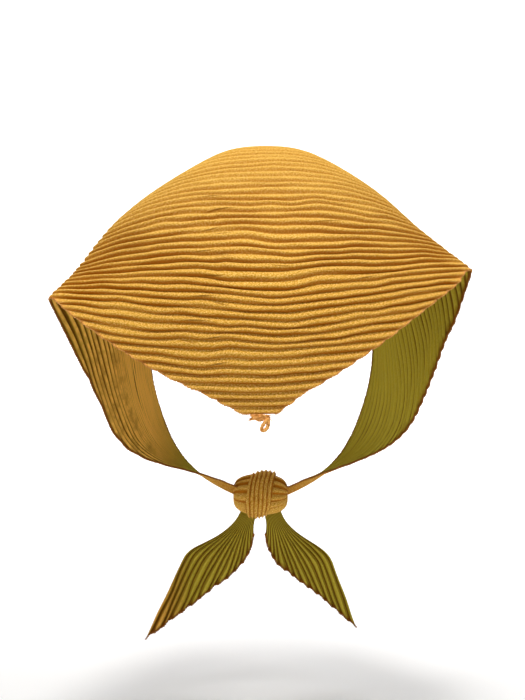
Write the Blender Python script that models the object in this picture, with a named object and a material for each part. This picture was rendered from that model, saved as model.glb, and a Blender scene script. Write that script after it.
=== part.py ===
"""Pleated headscarf: a three-cornered pleated cloth over the head, tied under the chin.

The wearer faces +Y, +X is the wearer's right-hand side seen from behind, +Z is up. The origin is the
top of the head. Every pleat runs from the middle of the head, over one side fold, down a cheek flap
and into the knot. Lengths are in metres.
"""

import functools
import math

import bpy
import numpy as np

PLEATS = 48
PLEAT_RISE = 0.0011      # a ridge stands this far above the middle of the cloth, a valley this far below
PITCH_SHARE = 0.40       # the rise where pleats crowd together, as a share of their pitch
WALL = 0.0015            # thickness of the cloth, square to its middle
RIM = 0.0024             # width of the rolled edge
RIM_WALL = 0.0024        # thickness of the rolled edge
SHORTEST = 0.0060        # least length of cloth between two stations of one pleat
STEP = 0.002             # spacing of the points that a pleat's line is measured by
GAP = 0.0003             # clearance between two pieces that meet

CLOTH_COLOUR = (0.520, 0.235, 0.042, 1.0)
THREAD_COLOUR = (0.480, 0.200, 0.050, 1.0)

# The middle of the back, from the front hem over the top of the head to the back corner.
MIDDLE = [
    dict(pleat=0, y=0.0410, z=-0.0140),
    dict(pleat=4, y=0.0215, z=-0.0065),
    dict(pleat=8, y=0.0000, z=-0.0034),
    dict(pleat=10, y=-0.0105, z=-0.0060),
    dict(pleat=13, y=-0.0250, z=-0.0130),
    dict(pleat=18, y=-0.0490, z=-0.0285),
    dict(pleat=23, y=-0.0695, z=-0.0480),
    dict(pleat=28, y=-0.0865, z=-0.0695),
    dict(pleat=33, y=-0.0965, z=-0.0935),
    dict(pleat=38, y=-0.0995, z=-0.1180),
    dict(pleat=43, y=-0.0990, z=-0.1430),
    dict(pleat=48, y=-0.0960, z=-0.1672),
]

# One row per pleat that is placed by hand; those between are blended. x y z is where the pleat crosses
# the side fold, in_* and out_* are how it comes to the fold and leaves it, with the lengths of those
# bends, mid_* is where it passes the middle of the cheek flap, lead is how far it runs straight out
# from the middle of the back and soft is how round the fold is.
LEFT = [
    dict(pleat=0, x=0.062, y=0.044, z=-0.046, in_x=0.60, in_y=0.05, in_z=-0.90, in_len=0.030,
         out_x=0.45, out_y=0.05, out_z=-1.00, out_len=0.040,
         mid_x=0.077, mid_y=0.068, mid_z=-0.186, lead=0.035, soft=0.016),
    dict(pleat=8, x=0.052, y=0.004, z=-0.024, in_x=0.85, in_y=0.05, in_z=-0.60, in_len=0.025,
         out_x=0.80, out_y=0.20, out_z=-0.60, out_len=0.050,
         mid_x=0.085, mid_y=0.048, mid_z=-0.188, lead=0.025, soft=0.016),
    dict(pleat=14, x=0.073, y=-0.014, z=-0.037, in_x=0.85, in_y=0.25, in_z=-0.55, in_len=0.030,
         out_x=0.65, out_y=0.35, out_z=-0.70, out_len=0.050,
         mid_x=0.092, mid_y=0.030, mid_z=-0.190, lead=0.035, soft=0.016),
    dict(pleat=21, x=0.0985, y=-0.032, z=-0.0585, in_x=0.80, in_y=0.45, in_z=-0.45, in_len=0.035,
         out_x=0.50, out_y=0.50, out_z=-0.80, out_len=0.045,
         mid_x=0.100, mid_y=0.010, mid_z=-0.192, lead=0.045, soft=0.014),
    dict(pleat=28, x=0.1185, y=-0.043, z=-0.0825, in_x=0.90, in_y=0.45, in_z=-0.25, in_len=0.040,
         out_x=0.25, out_y=0.60, out_z=-0.80, out_len=0.035,
         mid_x=0.104, mid_y=-0.008, mid_z=-0.194, lead=0.050, soft=0.010),
    dict(pleat=34.7, x=0.136, y=-0.055, z=-0.0985, in_x=0.95, in_y=0.35, in_z=-0.05, in_len=0.045,
         out_x=0.10, out_y=0.70, out_z=-0.80, out_len=0.025,
         mid_x=0.106, mid_y=-0.026, mid_z=-0.196, lead=0.050, soft=0.006),
    dict(pleat=48, x=0.150, y=-0.070, z=-0.165, in_x=1.00, in_y=0.25, in_z=0.05, in_len=0.050,
         out_x=0.10, out_y=0.70, out_z=-0.80, out_len=0.025,
         mid_x=0.106, mid_y=-0.050, mid_z=-0.230, lead=0.050, soft=0.006),
]
RIGHT = [
    dict(pleat=0, x=0.062, y=0.044, z=-0.044, in_x=0.60, in_y=0.05, in_z=-0.90, in_len=0.030,
         out_x=0.45, out_y=0.05, out_z=-1.00, out_len=0.040,
         mid_x=0.079, mid_y=0.074, mid_z=-0.186, lead=0.035, soft=0.016),
    dict(pleat=8, x=0.052, y=0.004, z=-0.0185, in_x=0.85, in_y=0.05, in_z=-0.60, in_len=0.025,
         out_x=0.80, out_y=0.20, out_z=-0.60, out_len=0.050,
         mid_x=0.089, mid_y=0.058, mid_z=-0.188, lead=0.025, soft=0.016),
    dict(pleat=14, x=0.078, y=-0.008, z=-0.0325, in_x=0.85, in_y=0.25, in_z=-0.55, in_len=0.030,
         out_x=0.65, out_y=0.35, out_z=-0.70, out_len=0.050,
         mid_x=0.098, mid_y=0.042, mid_z=-0.190, lead=0.035, soft=0.016),
    dict(pleat=21, x=0.105, y=-0.014, z=-0.056, in_x=0.80, in_y=0.55, in_z=-0.45, in_len=0.035,
         out_x=0.50, out_y=0.50, out_z=-0.80, out_len=0.045,
         mid_x=0.108, mid_y=0.026, mid_z=-0.191, lead=0.045, soft=0.014),
    dict(pleat=26, x=0.124, y=-0.017, z=-0.071, in_x=0.90, in_y=0.60, in_z=-0.25, in_len=0.040,
         out_x=0.25, out_y=0.60, out_z=-0.80, out_len=0.035,
         mid_x=0.112, mid_y=0.013, mid_z=-0.193, lead=0.050, soft=0.010),
    dict(pleat=31, x=0.140, y=-0.020, z=-0.083, in_x=0.90, in_y=0.60, in_z=-0.10, in_len=0.045,
         out_x=0.10, out_y=0.70, out_z=-0.80, out_len=0.025,
         mid_x=0.115, mid_y=0.000, mid_z=-0.195, lead=0.050, soft=0.006),
    dict(pleat=48, x=0.150, y=-0.050, z=-0.155, in_x=1.00, in_y=0.50, in_z=0.05, in_len=0.050,
         out_x=0.10, out_y=0.70, out_z=-0.80, out_len=0.025,
         mid_x=0.117, mid_y=-0.026, mid_z=-0.230, lead=0.050, soft=0.006),
]
FOLDS = {-1: LEFT, 1: RIGHT}

# Per side: length of the longest pleat from the middle to its pointed end, the pleat whose cut end is
# the wing tip, and how far the back edge bows outwards below that tip.
EDGES = {
    -1: dict(half_length=0.537, tip_pleat=34.7, belly=0.009),
    1: dict(half_length=0.497, tip_pleat=31.0, belly=0.001),
}

MID_DIRECTION = (-0.22, 0.30, -0.93)
MID_LENGTH = 0.045

# The knot under the chin: a plain bundle with its length along X.
KNOT_CENTRE = (0.0, 0.091, -0.265)
KNOT_HALF = 0.0210
KNOT_RADIUS_Y = 0.0160
KNOT_RADIUS_Z = 0.0180
KNOT_SIDES = 20
KNOT_RIB = 0.05
KNOT_PROFILE = [
    dict(along=-1.00, radius=0.78),
    dict(along=-0.80, radius=0.95),
    dict(along=-0.40, radius=1.00),
    dict(along=0.00, radius=0.92),
    dict(along=0.40, radius=1.00),
    dict(along=0.80, radius=0.95),
    dict(along=1.00, radius=0.78),
]

# Where the pleats enter the side of the knot: the hem's pleat in front, the others behind and above it.
ENTRY_X = KNOT_HALF + GAP + 0.0002
ENTRY_FRONT = (0.0990, -0.2700)
ENTRY_BACK = (0.0830, -0.2580)
ENTRY_LAST_PLEAT = 17
ENTRY_DIRECTION = (-0.88, 0.20, -0.42)
ENTRY_LENGTH = 0.050

# Stations along a pleat: as shares of its length up to the side fold, then of its length after it.
BEFORE_FOLD = (0.0, 0.20, 0.40, 0.60, 0.78, 0.90, 0.97)
AFTER_FOLD = (0.0, 0.03, 0.10, 0.20, 0.31, 0.43, 0.55, 0.66, 0.76, 0.85, 0.93, 1.0)

# The two free ends below the knot.
TAIL_PLEATS = 14
TAIL_X = 0.0098
TAIL_LONGEST = 0.130
TAIL_SHORTEST = 0.018
TAIL_PITCH_KNOT = 0.0010
TAIL_PITCH_OPEN = 0.0042
TAIL_OPENS_OVER = 0.060
TAIL_STEP = 0.020
TAIL_BOW = 0.008
TAILS = [
    dict(name="tail_left", side=-1, lean=0.46, forward=0.16, longest=1.00),
    dict(name="tail_right", side=1, lean=0.36, forward=0.22, longest=0.90),
]

# The frayed end of the edging thread at the back corner, and its small loop.
TUFT_HALF = (0.0066, 0.0022, 0.0022)
TUFT_RINGS = 6
TUFT_SIDES = 12
TUFT_BUMP = 0.16
LOOP_WIDTH = 0.0060
LOOP_HEIGHT = 0.0090
LOOP_THREAD = 0.0015
LOOP_POINTS = 14
LOOP_SIDES = 6
LOOP_X = 0.0028


def unit(vector):
    vector = np.asarray(vector, float)
    return vector / np.linalg.norm(vector)


def blended(rows, column, pleat):
    """A table's column at any pleat, with no kink at its rows."""
    at = np.array([row["pleat"] for row in rows], float)
    value = np.array([row[column] for row in rows], float)
    slope = np.gradient(value, at)
    i = int(np.clip(np.searchsorted(at, pleat, side="right") - 1, 0, len(at) - 2))
    width = at[i + 1] - at[i]
    u = (pleat - at[i]) / width
    return (
        (1 + 2 * u) * (1 - u) ** 2 * value[i]
        + u * (1 - u) ** 2 * width * slope[i]
        + u * u * (3 - 2 * u) * value[i + 1]
        + u * u * (u - 1) * width * slope[i + 1]
    )


def bend(start, start_handle, end_handle, end, count=40):
    """Points of a smooth bend from start to end."""
    u = np.linspace(0, 1, count)[:, None]
    return (
        (1 - u) ** 3 * start
        + 3 * u * (1 - u) ** 2 * start_handle
        + 3 * u * u * (1 - u) * end_handle
        + u**3 * end
    )


def lengths(line):
    """Distance along a line of points to each of them."""
    return np.concatenate([[0], np.cumsum(np.linalg.norm(np.diff(line, axis=0), axis=1))])


def at_lengths(line, distances):
    measured = lengths(line)
    return np.stack([np.interp(distances, measured, line[:, k]) for k in range(3)], axis=1)


def softened(line, radius):
    """The line with its corners rounded over this length. Its ends stay where they are."""
    width = max(1, int(round(radius / STEP)))
    weights = np.concatenate([np.arange(1, width + 1), np.arange(width - 1, 0, -1)]).astype(float)
    weights /= weights.sum()
    pad = len(weights) // 2
    before = line[1 : pad + 1][::-1] * np.array([-1, 1, 1])
    after = 2 * line[-1] - line[-2 : -pad - 2 : -1]
    longer = np.vstack([before, line, after])
    round_line = np.stack([np.convolve(longer[:, k], weights, mode="valid") for k in range(3)], axis=1)
    round_line[0] = line[0]
    return round_line


@functools.lru_cache(maxsize=None)
def pleat_line(pleat, side):
    """(points of a pleat's line from the middle of the back to the knot, distance to its side fold)."""
    row = {column: blended(FOLDS[side], column, pleat) for column in FOLDS[side][0]}
    middle = np.array([0.0, blended(MIDDLE, "y", pleat), blended(MIDDLE, "z", pleat)])
    fold = np.array([side * row["x"], row["y"], row["z"]])
    arriving = unit((side * row["in_x"], row["in_y"], row["in_z"]))
    leaving = unit((side * row["out_x"], row["out_y"], row["out_z"]))
    flap = np.array([side * row["mid_x"], row["mid_y"], row["mid_z"]])
    down = unit((side * MID_DIRECTION[0], MID_DIRECTION[1], MID_DIRECTION[2]))
    share = min(pleat / ENTRY_LAST_PLEAT, 1.0)
    entry_y = ENTRY_FRONT[0] + (ENTRY_BACK[0] - ENTRY_FRONT[0]) * share
    entry_z = ENTRY_FRONT[1] + (ENTRY_BACK[1] - ENTRY_FRONT[1]) * share
    entry = np.array([side * ENTRY_X, entry_y, entry_z])
    entering = unit((side * ENTRY_DIRECTION[0], ENTRY_DIRECTION[1], ENTRY_DIRECTION[2]))

    out = middle + np.array([side * row["lead"], 0.0, 0.0])
    over = bend(middle, out, fold - arriving * row["in_len"], fold)
    cheek = bend(fold, fold + leaving * row["out_len"], flap - down * MID_LENGTH, flap)
    under = bend(flap, flap + down * MID_LENGTH, entry - entering * ENTRY_LENGTH, entry)
    line = np.vstack([over, cheek[1:], under[1:]])
    whole = lengths(line)[-1]
    line = at_lengths(line, np.linspace(0, whole, int(whole / STEP) + 1))
    return softened(line, row["soft"]), lengths(over)[-1]


def reach(pleat, side):
    """Length of cloth on a pleat from the middle of the back to the cut edge."""
    edge = EDGES[side]
    length = edge["half_length"] * (1 - pleat / PLEATS)
    if pleat > edge["tip_pleat"]:
        length += edge["belly"] * math.sin(math.pi * (PLEATS - pleat) / (PLEATS - edge["tip_pleat"]))
    return length


def stations(pleat, side):
    """Distances along a pleat at which the cloth has points, the same number on every pleat."""
    line, fold = pleat_line(pleat, side)
    whole = lengths(line)[-1]
    before = [fold * share for share in BEFORE_FOLD]
    return np.array(before + [fold + (whole - fold) * share for share in AFTER_FOLD])


def cloth_at(pleat, station, side):
    """(point, outward direction, pitch of the pleats) of the middle of the cloth."""
    marks = stations(pleat, side)
    count = np.arange(len(marks))

    def on(other, offset=0.0):
        other_marks = stations(other, side)
        distance = np.interp(station, count, other_marks) + offset
        return at_lengths(pleat_line(other, side)[0], [distance])[0]

    low = max(pleat - 0.5, 0.0)
    high = min(pleat + 0.5, float(PLEATS))
    across = (on(high) - on(low)) / (high - low)
    if station <= 0:
        forward = np.array([side, 0.0, 0.0])
    else:
        forward = on(pleat, STEP) - on(pleat, -STEP)
    outward = unit(np.cross(across, forward)) * side
    return on(pleat), outward, np.linalg.norm(across)


def pleat_row(half_pleat):
    """One line of cloth from the left edge to the right edge: a valley where half_pleat is even, else a ridge."""
    pleat = half_pleat / 2
    points = []
    for side in (-1, 1):
        marks = stations(pleat, side)
        count = np.arange(len(marks))
        length = min(reach(pleat, side), marks[-1])
        cut = reach(pleat, side) < marks[-1]
        kept = [float(i) for i in count if marks[i] < length - SHORTEST or i == 0]
        if length > 0 and cut:
            if length > 2 * RIM:
                kept.append(float(np.interp(length - RIM, marks, count)))
            kept.append(float(np.interp(length, marks, count)))
        elif not cut:
            kept = [float(i) for i in count]
        for place, station in enumerate(kept):
            if side > 0 and station == 0:
                continue
            point, outward, pitch = cloth_at(pleat, station, side)
            rise = min(PLEAT_RISE, PITCH_SHARE * pitch) * (1 if half_pleat % 2 else -1)
            last = cut and place == len(kept) - 1 and place > 0
            points.append(dict(at=station * side, point=point, outward=outward, rise=rise,
                               wall=RIM_WALL if last else WALL))
    return sorted(points, key=lambda one: one["at"])


def tail_row(tail, half_pleat):
    """One line of a free end, from the knot to its cut edge."""
    pleat = half_pleat / 2
    side = tail["side"]
    down = unit((side * tail["lean"], tail["forward"], -1.0))
    across = unit(np.cross(down, (0.0, 1.0, 0.0))) * -side
    outward = unit(np.cross(across, down)) * -side
    under_knot = KNOT_CENTRE[2] - KNOT_RADIUS_Z * (1 - KNOT_RIB) - GAP
    slant = abs(outward[2]) * (WALL / 2 + PITCH_SHARE * TAIL_PITCH_KNOT)
    start = np.array([side * TAIL_X, KNOT_CENTRE[1], under_knot - slant])
    longest = TAIL_LONGEST * tail["longest"]
    length = longest + (TAIL_SHORTEST - longest) * pleat / TAIL_PLEATS
    places = [TAIL_STEP * i for i in range(int((length - SHORTEST) / TAIL_STEP) + 1)]
    places += [length - RIM, length]
    points = []
    for place, along in enumerate(places):
        u = min(along / TAIL_OPENS_OVER, 1.0)
        pitch = TAIL_PITCH_KNOT + (TAIL_PITCH_OPEN - TAIL_PITCH_KNOT) * u * u * (3 - 2 * u)
        spread = (pleat - TAIL_PLEATS / 2) * pitch
        sideways = unit(np.array([math.copysign(1.0, across[0]), 0.0, 0.0]) * (1 - u) + across * u)
        bow = TAIL_BOW * math.sin(math.pi * along / TAIL_LONGEST)
        point = start + down * along + sideways * spread + outward * bow
        rise = min(PLEAT_RISE, PITCH_SHARE * pitch) * (1 if half_pleat % 2 else -1)
        last = place == len(places) - 1
        points.append(dict(at=along, point=point, outward=outward, rise=rise, wall=RIM_WALL if last else WALL))
    return points


def strip(first, second):
    """Triangles between two rows, each given as (first index, positions along the row)."""
    a_start, a = first
    b_start, b = second
    i = j = 0
    faces = []
    while i < len(a) - 1 or j < len(b) - 1:
        next_a = a[i + 1] if i < len(a) - 1 else math.inf
        next_b = b[j + 1] if j < len(b) - 1 else math.inf
        if next_a <= next_b:
            faces.append((a_start + i, b_start + j, a_start + i + 1))
            i += 1
        else:
            faces.append((a_start + i, b_start + j, b_start + j + 1))
            j += 1
    return faces


def material(name, colour, roughness):
    made = bpy.data.materials.new(name)
    made.use_nodes = True
    surface = made.node_tree.nodes["Principled BSDF"]
    surface.inputs["Base Color"].default_value = colour
    surface.inputs["Roughness"].default_value = roughness
    surface.inputs["Metallic"].default_value = 0.0
    return made


def add_mesh(name, points, faces, colour, roughness=0.75):
    mesh = bpy.data.meshes.new(name)
    mesh.from_pydata([tuple(map(float, point)) for point in points], [], faces)
    mesh.validate()
    mesh.shade_smooth()
    made = bpy.data.objects.new(name, mesh)
    made.data.materials.append(material(name, colour, roughness))
    bpy.context.scene.collection.objects.link(made)
    return made


def signed_volume(points, faces):
    total = 0.0
    for face in faces:
        for k in range(1, len(face) - 1):
            total += np.dot(points[face[0]], np.cross(points[face[k]], points[face[k + 1]]))
    return total


def cloth(name, rows):
    """A closed sheet with a wall, through rows of points that run across the pleats one after another."""
    outer = []
    inner = []
    starts = []
    for row in rows:
        starts.append((len(outer), [one["at"] for one in row]))
        for one in row:
            centre = one["point"] + one["outward"] * one["rise"]
            outer.append(centre + one["outward"] * one["wall"] / 2)
            inner.append(centre - one["outward"] * one["wall"] / 2)
    count = len(outer)
    faces = []
    for first, second in zip(starts, starts[1:]):
        faces += strip(first, second)
    first_row = [starts[0][0] + k for k in range(len(starts[0][1]))]
    last_row = [starts[-1][0] + k for k in range(len(starts[-1][1]))]
    left_ends = [start for start, _ in starts]
    right_ends = [start + len(places) - 1 for start, places in starts]
    rim = first_row + right_ends[1:] + last_row[::-1][1:] + left_ends[::-1][1:-1]
    walls = []
    for one, other in zip(rim, rim[1:] + rim[:1]):
        if one != other:
            walls.append((one, other, other + count, one + count))
    back = [tuple(k + count for k in face[::-1]) for face in faces]
    solid = faces + back + walls
    points = outer + inner
    if signed_volume(points, solid) < 0:
        solid = [face[::-1] for face in solid]
    return add_mesh(name, points, solid, CLOTH_COLOUR)


def turned(name, rings, colour, centre_first, centre_last):
    """A closed round body through rings of points, with a point at each end."""
    sides = len(rings[0])
    points = [point for ring in rings for point in ring] + [centre_first, centre_last]
    first, last = len(points) - 2, len(points) - 1
    faces = []
    for r in range(len(rings) - 1):
        for k in range(sides):
            one = r * sides + k
            other = r * sides + (k + 1) % sides
            faces.append((one, other, other + sides, one + sides))
    for k in range(sides):
        faces.append((first, (k + 1) % sides, k))
        end = (len(rings) - 1) * sides
        faces.append((last, end + k, end + (k + 1) % sides))
    if signed_volume(points, faces) < 0:
        faces = [face[::-1] for face in faces]
    return add_mesh(name, points, faces, colour)


def knot():
    centre = np.array(KNOT_CENTRE)
    rings = []
    for row in KNOT_PROFILE:
        ring = []
        for k in range(KNOT_SIDES):
            turn = 2 * math.pi * k / KNOT_SIDES
            rib = 1 - KNOT_RIB * (k % 2)
            ring.append(centre + np.array([
                row["along"] * KNOT_HALF,
                row["radius"] * rib * KNOT_RADIUS_Y * math.cos(turn),
                row["radius"] * rib * KNOT_RADIUS_Z * math.sin(turn),
            ]))
        rings.append(ring)
    end = np.array([KNOT_HALF, 0.0, 0.0])
    return turned("chin_knot", rings, CLOTH_COLOUR, centre - end, centre + end)


def corner():
    """The lowest point of the back corner, which is a valley."""
    y = blended(MIDDLE, "y", PLEATS)
    z = blended(MIDDLE, "z", PLEATS)
    return np.array([0.0, y + PLEAT_RISE, z])


def tuft():
    half = np.array(TUFT_HALF)
    centre = corner() + np.array([0.0, 0.0, -GAP - half[2]])
    rings = []
    for r in range(1, TUFT_RINGS):
        along = math.pi * r / TUFT_RINGS
        ring = []
        for k in range(TUFT_SIDES):
            turn = 2 * math.pi * k / TUFT_SIDES
            bump = 1 - TUFT_BUMP * ((r + k) % 2)
            ring.append(centre + half * np.array([
                -math.cos(along),
                bump * math.sin(along) * math.cos(turn),
                bump * math.sin(along) * math.sin(turn),
            ]))
        rings.append(ring)
    side = np.array([half[0], 0.0, 0.0])
    return turned("corner_tuft", rings, THREAD_COLOUR, centre - side, centre + side)


def loop():
    """A small ring of thread, drawn out to a drop, hanging just behind the tuft."""
    radius = LOOP_THREAD / 2
    top = corner()[2] - GAP - TUFT_HALF[2]
    nearest = corner()[1] - TUFT_HALF[1] - GAP - radius
    middle = np.array([LOOP_X, nearest, top - LOOP_HEIGHT / 2])
    centres = []
    for k in range(LOOP_POINTS):
        turn = 2 * math.pi * k / LOOP_POINTS
        narrow = 1 - 0.35 * math.cos(turn)
        centres.append(middle + np.array([
            (LOOP_WIDTH / 2 - radius) * narrow * math.sin(turn),
            0.0,
            (LOOP_HEIGHT / 2 - radius) * math.cos(turn),
        ]))
    points = []
    for k, centre in enumerate(centres):
        ahead = unit(centres[(k + 1) % LOOP_POINTS] - centres[k - 1])
        aside = unit(np.cross(ahead, (0.0, 1.0, 0.0)))
        for s in range(LOOP_SIDES):
            turn = 2 * math.pi * s / LOOP_SIDES
            points.append(centre + radius * (aside * math.cos(turn) + np.array([0.0, 1.0, 0.0]) * math.sin(turn)))
    faces = []
    for k in range(LOOP_POINTS):
        for s in range(LOOP_SIDES):
            one = k * LOOP_SIDES + s
            other = k * LOOP_SIDES + (s + 1) % LOOP_SIDES
            after = ((k + 1) % LOOP_POINTS) * LOOP_SIDES
            faces.append((one, other, after + (s + 1) % LOOP_SIDES, after + s))
    if signed_volume(points, faces) < 0:
        faces = [face[::-1] for face in faces]
    return add_mesh("thread_loop", points, faces, THREAD_COLOUR)


def main():
    for old in list(bpy.data.objects):
        bpy.data.objects.remove(old)
    cloth("pleated_cloth", [pleat_row(half) for half in range(2 * PLEATS + 1)])
    knot()
    for tail in TAILS:
        cloth(tail["name"], [tail_row(tail, half) for half in range(2 * TAIL_PLEATS + 1)])
    tuft()
    loop()


main()
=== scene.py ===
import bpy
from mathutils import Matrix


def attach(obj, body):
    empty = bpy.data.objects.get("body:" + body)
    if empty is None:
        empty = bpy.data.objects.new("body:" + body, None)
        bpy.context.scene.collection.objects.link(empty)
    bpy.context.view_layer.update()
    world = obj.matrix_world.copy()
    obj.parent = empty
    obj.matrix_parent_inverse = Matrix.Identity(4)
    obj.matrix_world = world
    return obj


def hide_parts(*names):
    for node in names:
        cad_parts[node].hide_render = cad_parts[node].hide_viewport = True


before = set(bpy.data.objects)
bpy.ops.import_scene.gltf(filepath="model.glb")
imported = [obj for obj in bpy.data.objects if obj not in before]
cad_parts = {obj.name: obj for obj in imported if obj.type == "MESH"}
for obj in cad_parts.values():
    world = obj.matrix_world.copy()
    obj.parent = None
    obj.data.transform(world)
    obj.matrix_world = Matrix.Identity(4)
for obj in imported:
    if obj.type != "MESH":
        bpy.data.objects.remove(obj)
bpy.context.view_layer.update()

import math
import random

import bmesh
import bpy
import numpy as np
from mathutils import Vector

# The pleated cloth. Lengths are in metres, in the frame's axes: the front hem is towards +Y.
PLEATS = 48
RISE = 0.00145           # a ridge stands this far above the middle of the cloth, a valley this far below
PITCH_SHARE = 0.42       # the rise where pleats crowd together, as a share of their pitch
PITCH = 0.0053
CLOTH_THICK = 0.00060
RIM = 0.0028             # width of the turned edge
RIM_LINE = 0.35          # a line of points within the turned edge, as a share of its width
RIM_CLEAR = 1.8 * RIM    # no other stations are this close to the cut edge
RIM_THICK = 0.0012
SHORT = 4 * RIM          # shorter lines have no turned edge
EDGE_INSET = 0.0008      # room for the thread over the edge
TOOTH = 0.0003           # a ridge's end stands this far beyond the cut edge, a valley's this far inside it
TOOTH_LESS = 0.6         # less by this share on the flaps
STEP = 0.002             # between the points of a pleat's line

# Where the lines of points run within one pleat, from one valley to the next.
PHASES = (0.0, 0.08, 0.21, 0.37, 0.53, 0.68, 0.81, 0.92)
PEAK = 0.56              # where the ridge stands between its two valleys
COLUMNS_BEFORE = 38      # stations from the middle of the back to the side fold
COLUMNS_AFTER = 40       # stations from the side fold to the knot
GRID_COLUMNS = 300
CROWDING = 1.25          # stations crowd towards the side fold by this power
FINE_STATIONS = 1200     # steps in which the cut edge is looked for

# Where a pleat crosses the middle of the back.
MIDDLE = [
    dict(pleat=0, y=0.0410, z=-0.0140),
    dict(pleat=4, y=0.0215, z=-0.0065),
    dict(pleat=8, y=0.0000, z=-0.0034),
    dict(pleat=10, y=-0.0105, z=-0.0060),
    dict(pleat=13, y=-0.0250, z=-0.0130),
    dict(pleat=18, y=-0.0490, z=-0.0285),
    dict(pleat=23, y=-0.0695, z=-0.0480),
    dict(pleat=28, y=-0.0865, z=-0.0695),
    dict(pleat=33, y=-0.0965, z=-0.0935),
    dict(pleat=38, y=-0.0995, z=-0.1180),
    dict(pleat=43, y=-0.0990, z=-0.1430),
    dict(pleat=48, y=-0.0960, z=-0.1672),
]

# Where a pleat crosses the side fold, its direction there, and where it passes the middle of the
# flap, each as (to the side, y, z).
LEFT = [
    dict(pleat=0, fold=(0.062, 0.044, -0.046), arrive=(0.60, 0.05, -0.90), flap=(0.077, 0.068, -0.186)),
    dict(pleat=8, fold=(0.0535, 0.004, -0.024), arrive=(0.85, 0.05, -0.60), flap=(0.085, 0.048, -0.188)),
    dict(pleat=14, fold=(0.0768, -0.014, -0.0365), arrive=(0.85, 0.25, -0.55), flap=(0.092, 0.030, -0.190)),
    dict(pleat=21, fold=(0.1003, -0.032, -0.0583), arrive=(0.80, 0.45, -0.45), flap=(0.100, 0.010, -0.192)),
    dict(pleat=28, fold=(0.1195, -0.043, -0.0825), arrive=(0.90, 0.45, -0.25), flap=(0.104, -0.008, -0.194)),
    dict(pleat=34.7, fold=(0.136, -0.055, -0.0985), arrive=(0.95, 0.35, -0.05), flap=(0.106, -0.026, -0.196)),
    dict(pleat=48, fold=(0.150, -0.070, -0.165), arrive=(1.00, 0.25, 0.05), flap=(0.106, -0.050, -0.230)),
]
RIGHT = [
    dict(pleat=0, fold=(0.062, 0.044, -0.044), arrive=(0.60, 0.05, -0.90), flap=(0.079, 0.074, -0.186)),
    dict(pleat=8, fold=(0.052, 0.004, -0.0185), arrive=(0.85, 0.05, -0.60), flap=(0.089, 0.058, -0.188)),
    dict(pleat=14, fold=(0.078, -0.008, -0.0325), arrive=(0.85, 0.25, -0.55), flap=(0.098, 0.042, -0.190)),
    dict(pleat=21, fold=(0.105, -0.014, -0.056), arrive=(0.80, 0.55, -0.45), flap=(0.108, 0.026, -0.191)),
    dict(pleat=26, fold=(0.124, -0.017, -0.071), arrive=(0.90, 0.60, -0.25), flap=(0.112, 0.013, -0.193)),
    dict(pleat=31, fold=(0.140, -0.020, -0.083), arrive=(0.90, 0.60, -0.10), flap=(0.115, 0.000, -0.195)),
    dict(pleat=48, fold=(0.150, -0.050, -0.155), arrive=(1.00, 0.50, 0.05), flap=(0.117, -0.026, -0.230)),
]
# What the same rows of both tables share: the pull of the bend before the side fold, the direction
# and pull after it, how far a pleat runs straight from the middle of the back (lead), and how softly
# it bends.
COURSES = [
    dict(pull_in=0.030, leaving=(0.45, 0.05, -1.00), pull_out=0.040, lead=0.035, soft=0.016),
    dict(pull_in=0.025, leaving=(0.80, 0.20, -0.60), pull_out=0.050, lead=0.025, soft=0.016),
    dict(pull_in=0.030, leaving=(0.65, 0.35, -0.70), pull_out=0.050, lead=0.035, soft=0.016),
    dict(pull_in=0.035, leaving=(0.50, 0.50, -0.80), pull_out=0.045, lead=0.045, soft=0.014),
    dict(pull_in=0.040, leaving=(0.25, 0.60, -0.80), pull_out=0.035, lead=0.050, soft=0.010),
    dict(pull_in=0.045, leaving=(0.10, 0.70, -0.80), pull_out=0.025, lead=0.050, soft=0.006),
    dict(pull_in=0.050, leaving=(0.10, 0.70, -0.80), pull_out=0.025, lead=0.050, soft=0.006),
]
FOLDS = {
    side: [{**row, **course} for row, course in zip(table, COURSES)]
    for side, table in ((-1, LEFT), (1, RIGHT))
}

# The back edge: half the length of the sheet, the pleat whose end is the wing tip, and how far the
# cut curves outwards.
EDGES = {
    -1: dict(half_length=0.537, tip_pleat=34.7, belly=0.009),
    1: dict(half_length=0.497, tip_pleat=31.0, belly=0.001),
}
MID_DIRECTION = (-0.22, 0.30, -0.93)    # how a pleat runs through the middle of the flap
MID_LENGTH = 0.045

# The knot, and where the pleats enter it.
KNOT_CENTRE = (0.0, 0.091, -0.265)
KNOT_HALF = 0.0210
KNOT_RADIUS_Y = 0.0160
KNOT_RADIUS_Z = 0.0180
WRAP_HALF = 0.0098       # half the width of the turn of cloth over it
ENTRY_X = 0.0135
ENTRY_FRONT = (0.0990, -0.2700)     # y and z
ENTRY_BACK = (0.0830, -0.2580)
ENTRY_LAST_PLEAT = 17
ENTRY_DIRECTION = (-0.88, 0.20, -0.42)
ENTRY_LENGTH = 0.050

# The free ends: gathered at the knot, they open into pleated points.
TAIL_PLEATS = 14
TAIL_LONGEST = 0.130
TAIL_SHORTEST = 0.018
TAIL_PITCH_KNOT = 0.0010
TAIL_PITCH_OPEN = 0.0042
TAIL_OPENS_OVER = 0.060
TAIL_BOW = 0.008
TAIL_WAVE = 0.0030
TAIL_SHIFT = 0.25        # random shift of a pleat, as a share of its pitch
TAIL_START = -0.006      # inside the knot
TAIL_STEP = 0.004
TAIL_X = 0.0098
TAILS = [
    dict(name="tail_left", side=-1, lean=0.46, forward=0.16, longest=1.00, seed=71),
    dict(name="tail_right", side=1, lean=0.36, forward=0.22, longest=0.90, seed=72),
]


def unit(vector):
    vector = np.asarray(vector, float)
    return vector / np.linalg.norm(vector, axis=-1, keepdims=True)


def eased(value):
    """0 to 1 with a soft start and end."""
    value = np.clip(value, 0, 1)
    return value * value * (3 - 2 * value)


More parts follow.
